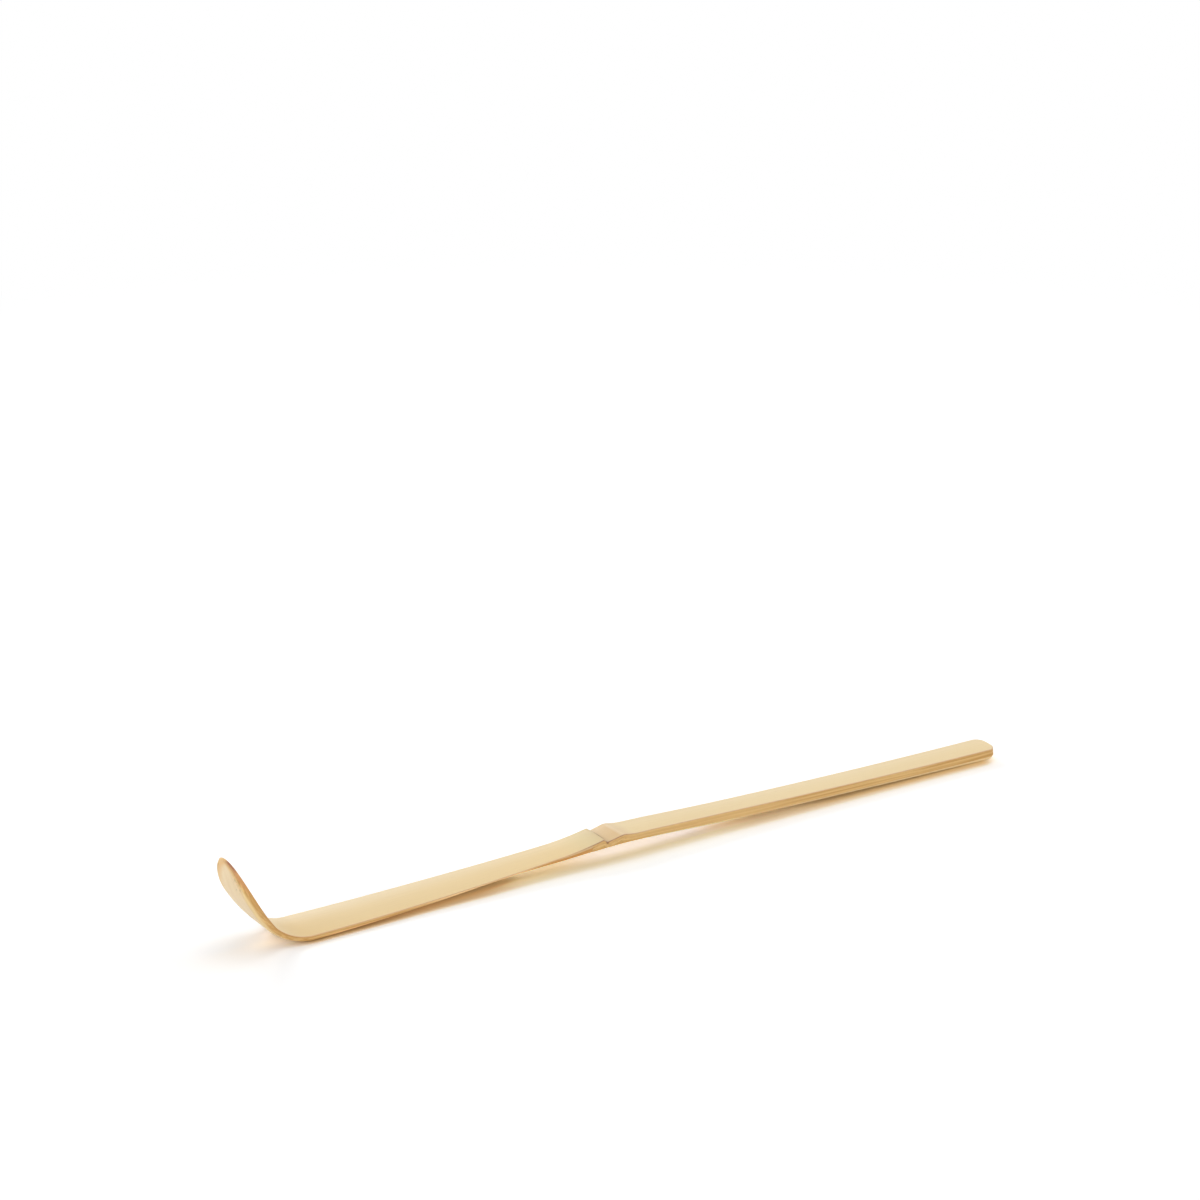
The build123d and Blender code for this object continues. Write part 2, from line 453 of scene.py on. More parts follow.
def scoop_section(along):
    """The section of the bend and the blade: thin, with sides that lean in more towards the blade."""
    heel = shaft_section(bend_start)
    share = min(along / waist_at, 1)
    thickness_places = [0, waist_at, bend_length, (bend_length + widest_at) / 2, widest_at, tip_at]
    mid_thickness = (waist_thickness + blade_thickness) / 2
    thicknesses = [heel.side + heel.drop, waist_thickness, mid_thickness]
    thicknesses += [blade_thickness, blade_thickness, tip_thickness]
    thickness = smooth_through(thickness_places, thicknesses, along)
    drop = blend(heel.drop, scoop_drop, share)
    bevel = blend(heel.bevel, scoop_bevel, share)
    flare = np.clip((drawn(along) - drawn(waist_at)) / (drawn(widest_at) - drawn(waist_at)), 0, 1)
    flare = flare**2 * (3 - 2 * flare)
    half = blend(heel.half, waist_width / 2, share) + (blade_width - waist_width) / 2 * flare
    lean = blend(waist_lean * share, blade_lean, flare)
    rises = [heel.rise, waist_rise, blade_rise]
    rise = smooth_through([0, waist_at, bend_length], rises, min(along, bend_length))
    point, turn = scoop_point(along)
    back = point[2] - thickness * math.cos(turn)
    if back < 0:
        thickness += back / math.cos(turn)
    return Section(half, thickness - drop, drop, bevel, lean, rise)


def section_at(s):
    """The section at s, which counts from the start of the bend and is negative in the scoop."""
    return shaft_section(bend_start + s) if s >= 0 else scoop_section(-s)


def surface_point(s, y, depth):
    """The point at s and y, at this depth under the line of the face's edges."""
    if s >= 0:
        x = bend_start + s
        return np.array([x, y, face_height(min(x, handle_end)) - depth])
    point, turn = scoop_point(-s)
    return point + np.array([0, y, 0]) - depth * np.array([math.sin(turn), 0, math.cos(turn)])


def worn(start, corner, finish):
    """The points of a worn corner, from one side of it to the other."""
    return [
        (1 - t) ** 2 * start + 2 * t * (1 - t) * corner + t**2 * finish
        for t in np.linspace(0, 1, corner_count)
    ]


def between(start, finish, count, crowd=1):
    """Points between two others, crowded towards the first by a power over 1."""
    return [start + (finish - start) * t**crowd for t in np.linspace(0, 1, count + 2)[1:-1]]


def side_profile(section, rise_in):
    """Points down a side as (inset, depth), from a point on the face, this far above its edge, to the
    back."""
    foot = np.array([section.lean * section.side, section.side])
    back = foot + np.array([section.bevel, section.drop])
    down = foot / np.linalg.norm(foot)
    under = (back - foot) / np.linalg.norm(back - foot)
    face_corner = worn(np.array([face_round, -rise_in]), np.zeros(2), down * face_round)
    foot_corner = worn(foot - down * side_round, foot, foot + under * side_round)
    back_corner = worn(back - under * back_round, back, back + np.array([back_round, 0]))
    side = between(face_corner[-1], foot_corner[0], side_count, side_crowd)
    bevel = between(foot_corner[-1], back_corner[0], bevel_count)
    return face_corner + side + foot_corner + bevel + back_corner


def plain_edge(s, section):
    """The outline where the strip runs on: inset and sign of y to place along the strip and y."""
    return lambda inset, sign: (s, sign * (section.half - inset))


def tip_edge(angle):
    """The outline of the round tip, at this angle from its widest place."""

    def edge(inset, sign):
        reach = drawn(tip_at) - drawn(widest_at) - inset
        place = drawn(widest_at) + reach * math.sin(angle)
        return -along_from(place), sign * (blade_width / 2 - inset) * math.cos(angle)

    return edge


def end_edge(angle, section):
    """The outline of the trimmed end of the handle, at this angle round its corners."""

    def edge(inset, sign):
        corner = far_corner if sign > 0 else near_corner
        reach = corner - inset
        x = handle_end - corner + reach * math.sin(angle)
        return x - bend_start, sign * (section.half - corner + reach * math.cos(angle))

    return edge


def ridge_lift(x, y, half):
    """How far the slant of the node's ridge raises the face here."""
    share = float(np.interp(x, [groove_x, ridge_x, node_end], [0, 1, 0]))
    return face_height(x - ridge_skew * share * (1 - y / half) / 2) - face_height(x)


def shaved(x, depth):
    """How far in the near side was shaved, before the node."""
    finish = scar_x - shave_end_gap
    if not finish - shave_length < x < finish:
        return 0
    share = 1 - (finish - x) / shave_length
    return shave_depth * share * float(np.clip((depth - shave_edge) / shave_slope, 0, 1))


def shape(s, y, depth, half):
    """A point of the finished strip, with the slant of its ridge and the shaving of its near side."""
    point = surface_point(s, y, depth)
    if s >= 0:
        x = bend_start + s
        point[2] += ridge_lift(x, y, half) * float(np.clip(1 - depth / skew_depth, 0, 1))
        if y < 0:
            point[1] += shaved(x, depth)
    point[2] = max(point[2], 0)
    return point


def ring(edge, section):
    """One ring round the strip: its points, and for each its place in the bamboo as (along, across, depth
    under the skin) and its distance from the outline."""
    sides = {}
    for sign in (-1, 1):
        edge_lift = section.lift(edge(0, sign)[1])
        rise_in = section.lift(edge(face_round, sign)[1]) - edge_lift
        rows = []
        for inset, depth in side_profile(section, rise_in):
            s, y = edge(inset, sign)
            rows.append((s, y, depth - edge_lift, inset))
        sides[sign] = rows
    near, far = sides[-1], sides[1]
    loop = []
    for share in across:
        s, y, _, _ = [blend(a, b, share) for a, b in zip(near[0], far[0])]
        rim = face_round + min(share, 1 - share) * abs(far[0][1] - near[0][1])
        loop.append((s, y, -section.lift(y), rim))
    loop += far[1:]
    for share in across[-2:0:-1]:
        s, y, depth, inset = [blend(a, b, share) for a, b in zip(near[-1], far[-1])]
        rim = inset + min(share, 1 - share) * abs(far[-1][1] - near[-1][1])
        loop.append((s, y, depth, rim))
    loop += near[:0:-1]
    points = [shape(s, y, depth, section.half) for s, y, depth, _ in loop]
    grain = [(s / mm, y / mm, (depth + section.lift(y)) / mm) for s, y, depth, _ in loop]
    return points, grain, [rim / mm for *_, rim in loop]


# Rings along each stretch of the strip
tip_rings = 26
flare_rings = 34
bend_rings = 24
heel_rings = 10
front_rings = 56
node_rings = (36, 14, 30, 22, 24)
handle_rings = 90
end_rings = 14


def ring_places():
    """Every ring from the tip to the end of the handle, as (edge, section), and each zone's first ring."""
    rings = []
    starts = {"carved_blade": 0}

    def run(start, finish, count):
        for s in np.linspace(start, finish, count, endpoint=False):
            section = section_at(s)
            rings.append((plain_edge(s, section), section))

    for angle in np.linspace(math.pi / 2, 0, tip_rings, endpoint=False):
        section = scoop_section(along_from(blend(drawn(widest_at), drawn(tip_at), math.sin(angle))))
        rings.append((tip_edge(angle), section))
    run(-widest_at, -waist_at, flare_rings)
    starts["carved_bend"] = len(rings)
    run(-waist_at, 0, bend_rings)
    run(0, heel_end - bend_start, heel_rings)
    starts["carved_front"] = len(rings)
    run(heel_end - bend_start, node_start - bend_start, front_rings)
    starts["carved_node"] = len(rings)
    places = [node_start, scar_x, groove_x, ridge_x, ridge_foot_x, node_end]
    for first, last, count in zip(places, places[1:], node_rings):
        run(first - bend_start, last - bend_start, count)
    starts["carved_handle"] = len(rings)
    run(node_end - bend_start, handle_end - far_corner - bend_start, handle_rings)
    section = shaft_section(handle_end - far_corner)
    for angle in np.linspace(0, math.pi / 2, end_rings):
        rings.append((end_edge(angle, section), section))
    return rings, starts


def row_of(k):
    """How far down the side a point of a ring lies, in rows from the face to the back."""
    if k < across_count:
        return 0
    if k < across_count + side_rows:
        return k - across_count + 1
    if k < 2 * across_count + side_rows - 1:
        return side_rows
    return loop_count - k


def trim_end(points):
    """Bulges the end of the handle, leans it out towards its foot, and bevels its lower edge."""
    share = np.clip((points[:, 0] - (handle_end - far_corner)) / far_corner, 0, 1)
    lean = end_lean * (points[:, 2] - end_bevel).clip(0)
    bevel = (end_bevel - points[:, 2]).clip(0)
    bulge = end_bulge * (points[:, 1] / end_half) ** 2
    points[:, 0] -= (lean + bevel + bulge) * share


def surface_of(k):
    """The surface that the face after this point of a ring belongs to: skin, side or back."""
    if k < across_count + corner_count - 2 or k > loop_count - corner_count:
        return skin_surface
    if across_count + side_rows - 1 <= k < 2 * across_count + side_rows - 2:
        return back_surface
    return side_surface


# A face of the strip: the ring that it follows, its surface, its points, their places on the flat map, and
# whether it closes the start or the finish of a piece
Face = namedtuple("Face", "ring surface points places closes")


class Strip:
    """The whole strip as points and faces, from which the zones' pieces are cut."""

    def __init__(self):
        places, self.starts = ring_places()
        made = [ring(edge, section) for edge, section in places]
        self.ring_count = len(made)
        self.points = [point for points, _, _ in made for point in points]
        self.grain = [place for _, grain, _ in made for place in grain]
        self.rim = [rim for _, _, rims in made for rim in rims]
        self.ids = np.arange(len(self.points)).reshape(self.ring_count, loop_count)
        # The tip's ring has closed to a single line down its edge
        self.ids[0] = [across_count - 1 + row_of(k) for k in range(loop_count)]
        self.measure(made)
        self.faces = []
        for i in range(self.ring_count - 1):
            for k in range(loop_count):
                self.add_face(i, surface_of(k), [(i, k), (i + 1, k), (i + 1, k + 1), (i, k + 1)])
        self.close_end()
        self.points = np.array(self.points)
        trim_end(self.points)
        self.normals = self.smooth_normals()

    def measure(self, made):
        """Distances along the strip and round it, for the flat map of its surface."""
        self.along = [np.mean([place[0] for place in grain]) for _, grain, _ in made]
        middle = np.array(made[self.ring_count // 2][0])
        steps = np.linalg.norm(np.roll(middle, -1, axis=0) - middle, axis=1)
        self.around = np.concatenate([[0], np.cumsum(steps)]) / steps.sum()

    def add_face(self, i, surface, corners):
        points, places = [], []
        for ring_number, k in corners:
            point = int(self.ids[ring_number][k % loop_count])
            if point not in points:
                points.append(point)
                places.append((self.along[ring_number], self.around[k]))
        if len(points) > 2:
            self.faces.append(Face(i, surface, points, places, None))

    def end_point(self, row, column):
        """A point of the end of the handle, counted down from the face and across to the far side."""
        last = self.ids[-1]
        if row == 0:
            return int(last[column])
        if row == side_rows:
            return int(last[2 * across_count + side_rows - 2 - column])
        if column == 0:
            return int(last[loop_count - row])
        if column == across_count - 1:
            return int(last[across_count - 1 + row])
        return self.end_ids[row, column]

    def close_end(self):
        """Closes the end of the handle with a grid of faces."""
        self.end_ids = {}
        for row in range(1, side_rows):
            near = self.end_point(row, 0)
            far = self.end_point(row, across_count - 1)
            for column in range(1, across_count - 1):
                share = across[column]
                self.end_ids[row, column] = len(self.points)
                self.points.append(blend(self.points[near], self.points[far], share))
                self.grain.append([blend(a, b, share) for a, b in zip(self.grain[near], self.grain[far])])
                self.rim.append(self.rim[near])
        for row in range(side_rows):
            for column in range(across_count - 1):
                corners = [(row, column), (row + 1, column), (row + 1, column + 1), (row, column + 1)]
                points = [self.end_point(r, c) for r, c in corners]
                places = [(r / side_rows, across[c]) for r, c in corners]
                self.faces.append(Face(self.ring_count - 1, side_surface, points, places, 1))

    def smooth_normals(self):
        """The normal at each point: the mean of its faces', each counted by its size."""
        normals = np.zeros_like(self.points)
        for face in self.faces:
            ids = face.points
            a, b, c = [self.points[i] for i in ids[:3]]
            normals[ids] += np.cross(c - a, self.points[ids[-1]] - b)
        return normals / np.maximum(np.linalg.norm(normals, axis=1), 1e-30)[:, None]

    def cut(self, i, closes):
        """The hidden face where one zone meets the next."""
        order = range(loop_count)[:: -1 if closes else 1]
        turns = [2 * math.pi * k / loop_count for k in order]
        places = [((1 + math.cos(turn)) / 2, (1 + math.sin(turn)) / 2) for turn in turns]
        return Face(i, side_surface, [int(self.ids[i][k]) for k in order], places, closes)

    def piece(self, name, node, materials):
        """Cuts out the zone that stands for a node of the frame."""
        zones = list(self.starts)
        following = zones[zones.index(name) + 1 :]
        first = self.starts[name]
        last = self.starts[following[0]] if following else self.ring_count
        faces = [face for face in self.faces if first <= face.ring < last]
        if first > 0:
            faces.append(self.cut(first, 0))
        if following:
            faces.append(self.cut(last, 1))
        used = sorted({point for face in faces for point in face.points})
        number = {point: i for i, point in enumerate(used)}
        mesh = bpy.data.meshes.new(name)
        corners = [[number[point] for point in face.points] for face in faces]
        mesh.from_pydata(self.points[used].tolist(), [], corners)
        for material in materials:
            mesh.materials.append(material)
        mesh.polygons.foreach_set("material_index", [face.surface for face in faces])
        places = flat_map(faces, self.along[first], self.along[min(last, self.ring_count - 1)])
        mesh.uv_layers.new(name="OFBake").data.foreach_set("uv", places)
        grain = mesh.attributes.new("grain", "FLOAT_VECTOR", "POINT")
        grain.data.foreach_set("vector", np.array([self.grain[point] for point in used]).ravel())
        rim = mesh.attributes.new("rim", "FLOAT", "POINT")
        rim.data.foreach_set("value", np.array([self.rim[point] for point in used]))
        mesh.shade_smooth()
        mesh.normals_split_custom_set_from_vertices(self.normals[used].tolist())
        piece = bpy.data.objects.new(name, mesh)
        bpy.context.scene.collection.objects.link(piece)
        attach(piece, "root")
        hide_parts(node)


def flat_map(faces, start, finish):
    """Places on the flat map: along the strip and round it, and the closing faces beside it."""
    places = []
    for face in faces:
        for u, v in face.places:
            if face.closes is None:
                places += [map_length * (u - start) / (finish - start), v]
            else:
                up = (face.closes + blend(map_gap, 1 - map_gap, v)) / 2
                places += [blend(1, map_length + map_gap, u), up]
    return places


def paint(red, green, blue):
    """A colour written as it looks on a screen, from 0 to 255."""
    levels = [value / 255 for value in (red, green, blue)]
    return [v / 12.92 if v <= 0.04045 else ((v + 0.055) / 1.055) ** 2.4 for v in levels] + [1]


# The skin's colours: before the node and behind it, and towards its far edge a paler tone that is painted
# light on the crown's far slope
front_skin = paint(235, 207, 155)
handle_skin = paint(238, 214, 168)
lit_far_skin = paint(241, 218, 179)

# How the node's bands slant across the strip, and how far the groove's dark line lies behind its bottom
band_slant = 0.07
groove_line = 0.05

# Places along the strip for the materials, in millimetres from the start of the bend
tip_place = -tip_at / mm
scar_place = (scar_x - bend_start) / mm
groove_place = (groove_x - bend_start) / mm
ridge_place = (ridge_x - bend_start) / mm
shave_finish = scar_place - shave_end_gap / mm
shave_start = shave_finish - shave_length / mm

# The stretches of the side that have a tone of their own, most of them painted light: where each starts, is
# full, ebbs and has ebbed
low_front = (1, 6, 26, 34)
thin_front = (18, 36, 46, 53)
lit_node = (42, 52, 94, 106)
low_node = (groove_place - 16, groove_place - 9, groove_place + 8, groove_place + 14)
thin_neck = (60, 66, 106, 122)

# The depth of the shaved band at its start and at its end, in millimetres under the skin
shave_band = (0.15, 0.8)

# Bamboo's refraction, and its roughness and the depth of its fibres on each surface
bamboo_ior = 1.45
skin_finish = (0.42, 0.012 * mm)
side_finish = (0.5, 0.02 * mm)
back_finish = (0.55, 0.02 * mm)


class Shader:
    """A material's or the world's nodes, with short ways to add them. Its measures are named values that
    differ from place to place, and colours are tinted within ranges of them."""

    def __init__(self, holder):
        self.holder = holder
        self.measures = {}
        holder.use_nodes = True
        self.tree = holder.node_tree
        self.tree.nodes.clear()

    def add(self, kind, inputs=None, **settings):
        """Adds a node; each input is a value, or another node's output to link."""
        node = self.tree.nodes.new(kind)
        for name, value in settings.items():
            setattr(node, name, value)
        for name, value in (inputs or {}).items():
            if isinstance(value, bpy.types.NodeSocket):
                self.tree.links.new(value, node.inputs[name])
            else:
                node.inputs[name].default_value = value
        return node

    def math(self, operation, first, second):
        """Two values, joined by a sum of this kind."""
        return self.add("ShaderNodeMath", {0: first, 1: second}, operation=operation).outputs[0]

    def product(self, first, second):
        """Two values multiplied."""
        return self.math("MULTIPLY", first, second)

    def off(self, name, place):
        """How far a measure is from a place."""
        return self.math("ABSOLUTE", self.math("SUBTRACT", self.measures[name], place), 0)

    def within(self, name, start, full, *ebb):
        """How far a measure has come from the start of a range to where it is full, eased, from 0 to 1. A
        range of four places goes on to where it ebbs and has ebbed."""
        limits = {"Value": self.measures[name], "From Min": start, "From Max": full}
        share = self.add("ShaderNodeMapRange", limits, interpolation_type="SMOOTHSTEP").outputs[0]
        return self.product(share, self.within(name, *ebb[::-1])) if ebb else share

    def tint(self, colour, other, *shares, **ranges):
        """Tints a colour with another, by the product of the shares, within the range of each measure."""
        shares = [*shares, *(self.within(name, *limits) for name, limits in ranges.items())]
        # A mix node's inputs 0, 6 and 7 are its share and its two colours, and its output 2 is their mix
        inputs = {0: reduce(self.product, shares), 6: colour, 7: other}
        return self.add("ShaderNodeMix", inputs, data_type="RGBA").outputs[2]

    def bands(self, name, stops):
        """Colours along a measure, from a list of places and colours."""
        low, high = stops[0][0], stops[-1][0]
        limits = {"Value": self.measures[name], "From Min": low, "From Max": high}
        share = self.add("ShaderNodeMapRange", limits).outputs[0]
        node = self.add("ShaderNodeValToRGB", {0: share})
        ramp = node.color_ramp
        while len(ramp.elements) < len(stops):
            ramp.elements.new(0.5)
        for element, (place, colour) in zip(ramp.elements, stops):
            element.position = (place - low) / (high - low)
            element.color = colour
        return node.outputs[0]

    def openness(self, reach, samples):
        """How much of the sky is free of things within this reach, from 0 to 1."""
        return self.add("ShaderNodeAmbientOcclusion", {"Distance": reach}, samples=samples).outputs["AO"]


class Bamboo(Shader):
    """A material of the strip. It measures each place in the bamboo in millimetres: along the fibres, beside
    the middle, in depth under the skin, and from the rim, which is the strip's outline."""

    def __init__(self, name):
        super().__init__(bpy.data.materials.new(name))
        self.place = self.add("ShaderNodeAttribute", attribute_name="grain").outputs["Vector"]
        along, beside, depth = self.add("ShaderNodeSeparateXYZ", {0: self.place}).outputs
        rim = self.add("ShaderNodeAttribute", attribute_name="rim").outputs["Fac"]
        self.measures = {"along": along, "beside": beside, "depth": depth, "rim": rim}

    def fibres(self, name, length, width, seed, detail=2):
        """Adds a measure: a noise drawn out along the fibres, of this length and width in millimetres."""
        inputs = {0: self.place, 1: (1 / length, 1 / width, 1 / width), 2: (seed, seed, seed)}
        stretched = self.add("ShaderNodeVectorMath", inputs, operation="MULTIPLY_ADD").outputs[0]
        noise = {"Vector": stretched, "Scale": 1, "Detail": detail}
        self.measures[name] = self.add("ShaderNodeTexNoise", noise).outputs[0]

    def satin(self, colour, name, finish):
        """Ends the material with the satin surface of carved bamboo, whose fibres stand up by a measure."""
        roughness, depth = finish
        bump = self.add("ShaderNodeBump", {"Height": self.measures[name], "Strength": 1, "Distance": depth})
        inputs = {"Base Color": colour, "Roughness": roughness, "IOR": bamboo_ior, "Normal": bump.outputs[0]}
        shader = self.add("ShaderNodeBsdfPrincipled", inputs)
        self.add("ShaderNodeOutputMaterial", {0: shader.outputs[0]})
        return self.holder


def skin_bands(shader):
    """The skin's colours along the strip: two internodes, with the swelling, groove and ridge between.
    Besides the node's own tones, the bands hold painted shade in the bend, in the groove along with its dirt
    and on the slope up to the ridge, and a painted highlight just behind the ridge.
    """
    slant = shader.product(shader.measures["beside"], band_slant)
    shader.measures["slanted"] = shader.math("ADD", slant, shader.measures["along"])
    bands = [
        (-6, paint(232, 202, 147)),
        (12, front_skin),
        (scar_place - 9, front_skin),
        (scar_place - 2.5, paint(223, 202, 154)),
        (scar_place - 0.2, paint(214, 191, 146)),
        (scar_place + 0.15, paint(204, 177, 136)),
        (groove_place + 0.1, paint(204, 173, 130)),
        (groove_place + 0.5, paint(218, 187, 141)),
        (ridge_place - 0.5, paint(218, 184, 136)),
        (ridge_place + 0.1, paint(232, 207, 172)),
        (ridge_place + 1.2, paint(231, 203, 160)),
        (ridge_place + 3, handle_skin),
    ]
    return shader.bands("slanted", bands)


def skin():
    """The culm's skin: pale straw, finely streaked, with the bands of the node across it."""
    shader = Bamboo("culm_skin")
    shader.measures["off_groove"] = shader.off("along", groove_place + groove_line)
    shader.fibres("broad", 40, 3.5, 1.3)
    shader.fibres("fine", 16, 0.17, 4.1)
    shader.fibres("flecks", 2.4, 0.12, 7.7)
    colour = skin_bands(shader)
    # Painted light: paler towards the far edge, away from the node
    colour = shader.tint(colour, lit_far_skin, 0.7, beside=(-1, 4.5), off_groove=(3, 9))
    # A dark line in the groove, partly dirt and partly painted shade, which fades towards the near edge and
    # comes back at it
    far_line = shader.within("beside", -2.6, 0.4)
    line = shader.math("MAXIMUM", far_line, shader.within("beside", -2.6, -3.0))
    colour = shader.tint(colour, paint(108, 70, 46), 0.8, line, off_groove=(0.18, 0.04))
    # Fibres
    colour = shader.tint(colour, paint(228, 200, 150), 0.25, broad=(0.4, 0.7))
    colour = shader.tint(colour, paint(222, 192, 142), 0.28, fine=(0.45, 0.75))
    colour = shader.tint(colour, paint(204, 170, 118), 0.25, flecks=(0.6, 0.8))
    # A thin red-brown line along the near edge, darker at the node
    edge = {"rim": (0.3, 0.1), "beside": (0, -1.5)}
    colour = shader.tint(colour, paint(198, 146, 108), 0.6, **edge)
    colour = shader.tint(colour, paint(146, 96, 72), 0.6, **edge, off_groove=(9, 2))
    return shader.satin(colour, "fine", skin_finish)


def wall_fibres(shader):
    """The wall's golden fibres, browner just under the skin."""
    shader.fibres("broad", 26, 0.42, 2.2)
    shader.fibres("fine", 14, 0.1, 5.9)
    shader.fibres("flecks", 1.8, 0.1, 9.4)
    bands = [
        (tip_place + 5, paint(194, 150, 84)),
        (tip_place + 16, paint(204, 158, 92)),
        (0, paint(198, 150, 84)),
    ]
    colour = shader.bands("along", bands)
    colour = shader.tint(colour, paint(226, 188, 126), broad=(0.36, 0.64))
    colour = shader.tint(colour, paint(190, 138, 70), 0.5, fine=(0.5, 0.72))
    colour = shader.tint(colour, paint(150, 104, 60), 0.4, flecks=(0.62, 0.8))
    return shader.tint(colour, paint(204, 152, 104), 0.7, depth=(0.2, 0.06))


def painted_lit_feet(shader, colour):
    """Painted light on the foot of the side: the bevel under the handle is painted pale with light from the
    floor, and the edge of the scoop's back has a painted highlight.
    """
    colour = shader.tint(colour, paint(255, 230, 182), 0.9, depth=(1.5, 1.75), along=(78, 95))
    return shader.tint(colour, paint(240, 216, 166), 0.8, depth=(0.75, 1.3), along=(0, -4))


def thin_edges(shader, colour):
    """The scoop's wall is darker under the skin. Before and behind the node the thin edges and the bevels
    under them are paler: painted light where they lie in shade.
    """
    colour = shader.tint(colour, paint(184, 134, 74), 0.5, depth=(0.65, 0.2), along=(-1, -4))
    # Painted light on the thin edge and the shaded bevels before the node
    colour = shader.tint(colour, paint(255, 216, 160), 0.95, along=thin_front)
    colour = shader.tint(colour, paint(255, 206, 144), 0.85, along=low_front, depth=(0.42, 0.65))
    # Painted light behind the node
    return shader.tint(colour, paint(230, 194, 134), 0.55, along=thin_neck)


def shaved_wall(shader, colour):
    """Where the near side was shaved before the node, an orange band runs down to the end of the cut; its
    orange is partly the cut's colour and partly painted bounce light from the floor.
    """
    limits = {"Value": shader.measures["along"], "From Min": shave_start, "From Max": shave_finish}
    limits["To Min"], limits["To Max"] = shave_band
    band = shader.add("ShaderNodeMapRange", limits).outputs[0]
    shader.measures["under_band"] = shader.math("SUBTRACT", shader.measures["depth"], band)
    shader.measures["off_band"] = shader.off("under_band", 0)
    stretch = (shave_start, shave_start + 6, shave_finish - 0.1, shave_finish + 0.1)
    shaving = {"along": stretch, "beside": (0, -1)}
    colour = shader.tint(colour, paint(220, 192, 152), 0.8, **shaving, under_band=(-0.15, -0.3))
    # The orange band, partly painted bounce light from the floor
    return shader.tint(colour, paint(202, 142, 72), 0.85, **shaving, off_band=(0.4, 0.2))


def node_wall(shader, colour):
    """At the node the wall is golden, its foot has a painted line of light from the floor, the groove ends
    in a dark notch of painted shade, and the fibres tangle."""
    shader.measures["off_groove"] = shader.off("along", groove_place)
    shader.fibres("tangle", 0.9, 0.22, 3.7)
    colour = shader.tint(colour, paint(203, 156, 80), 0.65, depth=(0.9, 1.4), along=low_node)
    # Painted highlight along the foot of the wall, lit from the floor
    colour = shader.tint(colour, paint(255, 244, 190), 0.95, along=lit_node, rim=(0, 0.04))
    # Painted shade in the dark notch at the groove's end
    colour = shader.tint(colour, paint(116, 76, 54), 0.75, off_groove=(0.4, 0.15), depth=(0.45, 0.2))
    return shader.tint(colour, paint(166, 118, 66), 0.5, off_groove=(7, 3), tangle=(0.52, 0.68))


def toasted_wall(shader, colour):
    """Toasted round the tip: pale on the far side and red-brown on the near one. A dark streak lies near
    the tip on the near side.
    """
    toast = shader.tint(paint(238, 198, 138), paint(200, 144, 94), beside=(1.5, -2))
    toasted = (tip_place + 7, tip_place + 3.5)
    streak = (tip_place + 2.0, tip_place + 0.9)
    colour = shader.tint(colour, toast, 0.8, along=toasted, depth=(0.95, 0.5))
    return shader.tint(colour, paint(138, 76, 56), 0.8, along=streak, depth=(0.42, 0.2), beside=(0, -1.2))


def side():
    """The cut wall of the culm: golden fibres in streaks, with the tones of its stretches over them, some of
    them painted light and shade.
    """
    shader = Bamboo("culm_wall")
    colour = wall_fibres(shader)
    for tone in (painted_lit_feet, thin_edges, shaved_wall, node_wall, toasted_wall):
        colour = tone(shader, colour)
    return shader.satin(colour, "fine", side_finish)


def back():
    """The carved flesh under the strip: pale, with short dark fibre ends, and toasted round the tip."""
    shader = Bamboo("culm_flesh")
    shader.fibres("broad", 18, 2.2, 3.4)
    shader.fibres("fine", 8, 0.14, 6.6)
    shader.fibres("dashes", 2.6, 0.16, 8.8)
    shader.fibres("flecks", 0.8, 0.45, 1.9, 3)
    colour = shader.tint(paint(244, 221, 184), paint(238, 212, 172), broad=(0.35, 0.7))
    colour = shader.tint(colour, paint(224, 194, 148), 0.3, fine=(0.5, 0.75))
    colour = shader.tint(colour, paint(200, 164, 118), 0.35, dashes=(0.62, 0.78))
    toasted = (tip_place + 11, tip_place + 1)
    colour = shader.tint(colour, paint(234, 184, 112), 0.75, along=toasted, rim=(3.4, 1.2))
    # A painted highlight: a yellow line along the near edge of the blade
    line = {"rim": (1.9, 1.45), "beside": (0, -1), "along": (-5, -8)}
    colour = shader.tint(colour, paint(222, 184, 108), 0.55, **line)
    # A stain of grey-green flecks beside the near edge
    stretch = (tip_place + 1.2, tip_place + 2.6, tip_place + 5, tip_place + 7)
    stain = {"along": stretch, "beside": (-0.8, -3), "flecks": (0.5, 0.62)}
    colour = shader.tint(colour, paint(176, 158, 112), 0.6, **stain)
    return shader.satin(colour, "dashes", back_finish)


def seen(shader):
    """1 for the rays that show the background: from the camera, in reflections and through glass."""
    paths = shader.add("ShaderNodeLightPath").outputs
    share = shader.math("MAXIMUM", paths["Is Camera Ray"], paths["Is Glossy Ray"])
    return shader.math("MAXIMUM", share, paths["Is Transmission Ray"])


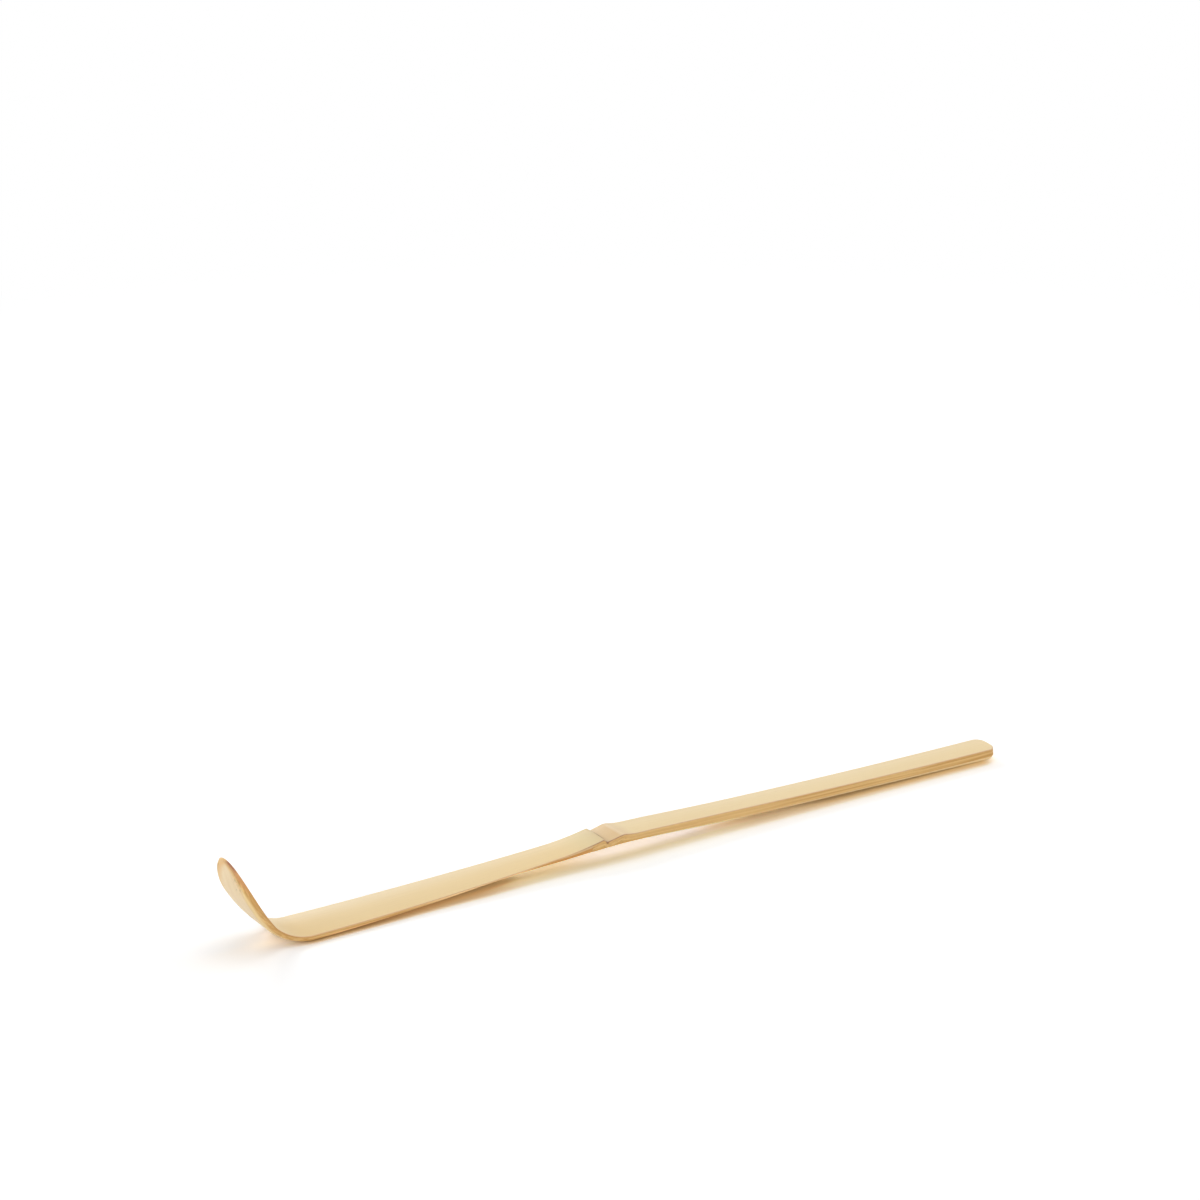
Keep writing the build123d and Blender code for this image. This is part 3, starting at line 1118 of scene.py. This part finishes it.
def floor_tone(shader):
    """The floor's painted shade to the camera, from its openness to the sky and its place beside the strip.
    """
    colour = shader.bands("sky", floor_shades)
    # Painted shade in the gaps under the front and the handle
    colour = shader.tint(colour, front_gap, sky=gap_sky, right=front_gap_range)
    colour = shader.tint(colour, handle_gap, sky=gap_sky, right=handle_gap_range)
    # Painted brown shade along the low edges of the front and the handle
    front = shader.product(shader.within("right", *front_edge_shade_range), front_edge_shade)
    handle = shader.product(shader.within("right", *handle_edge_shade_range), handle_edge_shade)
    colour = shader.tint(colour, painted_edge_shade, shader.math("MAXIMUM", front, handle), sky=edge_shade_sky)
    # Painted brown contact shadow where the strip all but touches the floor
    heel_touch = shader.within("right", *heel_contact_stretch)
    handle_touch = shader.within("right", *handle_contact_range)
    touched = shader.math("MAXIMUM", heel_touch, handle_touch)
    colour = shader.tint(colour, painted_contact_shadow, touched, touch=contact_free)
    # Painted dark shade before the heel
    heel = {"right": heel_shade_stretch, "far": heel_shade_side, "sky": heel_shade_sky}
    colour = shader.tint(colour, heel_shade, **heel)
    # Paler painted shade under the scoop
    near_tone = shader.bands("sky", near_scoop_shades)
    scoop_tone = shader.tint(near_tone, shader.bands("sky", far_scoop_shades), far=far_scoop_range)
    colour = shader.tint(colour, scoop_tone, right=scoop_shade_range)
    # Painted shade that all but fades at the end of the handle
    return shader.tint(colour, shader.bands("sky", end_shades), right=end_shade_range)


def floor():
    """A wide floor just under the strip: to the camera it is white where it is open, and in shadow its
    real shade is deepened and warmed by painted shade.
    """
    shader = Shader(bpy.data.materials.new("pale_floor"))
    place = shader.add("ShaderNodeNewGeometry").outputs["Position"]
    right, far, _ = shader.add("ShaderNodeSeparateXYZ", {0: place}).outputs
    away = shader.add("ShaderNodeVectorMath", {0: place}, operation="LENGTH").outputs["Value"]
    sky = shader.openness(floor_shade_reach, floor_shade_samples)
    touch = shader.openness(contact_reach, contact_samples)
    shader.measures = {"right": right, "far": far, "away": away, "sky": sky, "touch": touch}
    plain = shader.add("ShaderNodeBsdfDiffuse", {"Color": floor_grey}).outputs[0]
    toned = shader.add("ShaderNodeBsdfDiffuse", {"Color": floor_tone(shader)}).outputs[0]
    beyond = shader.add("ShaderNodeEmission", {"Color": white}).outputs[0]
    fade = {0: shader.within("away", *white_range), 1: toned, 2: beyond}
    shown = shader.add("ShaderNodeMixShader", fade).outputs[0]
    mixed = shader.add("ShaderNodeMixShader", {0: seen(shader), 1: plain, 2: shown}).outputs[0]
    shader.add("ShaderNodeOutputMaterial", {0: mixed})
    mesh = bpy.data.meshes.new("floor")
    ends = (-floor_reach, floor_reach)
    mesh.from_pydata([(x, y, -floor_gap) for y in ends for x in ends], [], [(0, 1, 3, 2)])
    mesh.materials.append(shader.holder)
    piece = bpy.data.objects.new("floor", mesh)
    bpy.context.scene.collection.objects.link(piece)


def world():
    """White behind everything, and a soft even fill."""
    bpy.context.scene.world = bpy.data.worlds.new("studio")
    shader = Shader(bpy.context.scene.world)
    fill = shader.add("ShaderNodeBackground", {"Color": fill_colour, "Strength": fill_share}).outputs[0]
    plain = shader.add("ShaderNodeBackground", {"Color": white, "Strength": 1}).outputs[0]
    mixed = shader.add("ShaderNodeMixShader", {0: seen(shader), 1: fill, 2: plain}).outputs[0]
    shader.add("ShaderNodeOutputWorld", {0: mixed})


def toward(azimuth, elevation):
    """The direction at these angles, in degrees: round from +X towards +Y, and up."""
    turn, rise = math.radians(azimuth), math.radians(elevation)
    return Vector((math.cos(turn) * math.cos(rise), math.sin(turn) * math.cos(rise), math.sin(rise)))


def softbox(name, azimuth, elevation, share, width, height, colour):
    """A lamp that gives the floor this share of its light."""
    direction = toward(azimuth, elevation)
    light = bpy.data.lights.new(name, "AREA")
    light.shape = "RECTANGLE"
    light.size = width
    light.size_y = height
    light.color = colour
    light.energy = share * (math.pi * lamp_distance) ** 2 / direction.z
    lamp = bpy.data.objects.new(name, light)
    lamp.location = direction * lamp_distance
    lamp.rotation_euler = direction.to_track_quat("Z", "Y").to_euler()
    bpy.context.scene.collection.objects.link(lamp)


def camera():
    """The camera at the photograph's place, looking a little above the strip."""
    data = bpy.data.cameras.new("camera")
    data.sensor_width = camera_sensor
    data.lens = camera_lens
    data.clip_start = camera_clip
    view = bpy.data.objects.new("camera", data)
    view.location = Vector(camera_point) + toward(*camera_place)
    view.rotation_euler = toward(*camera_back).to_track_quat("Z", "Y").to_euler()
    bpy.context.scene.collection.objects.link(view)
    bpy.context.scene.camera = view


strip = Strip()
surfaces = [skin(), side(), back()]
for name, node in nodes.items():
    strip.piece(name, node, surfaces)
floor()
world()
for lamp in lamps:
    softbox(*lamp)
camera()
bpy.context.scene.view_settings.view_transform = "Standard"
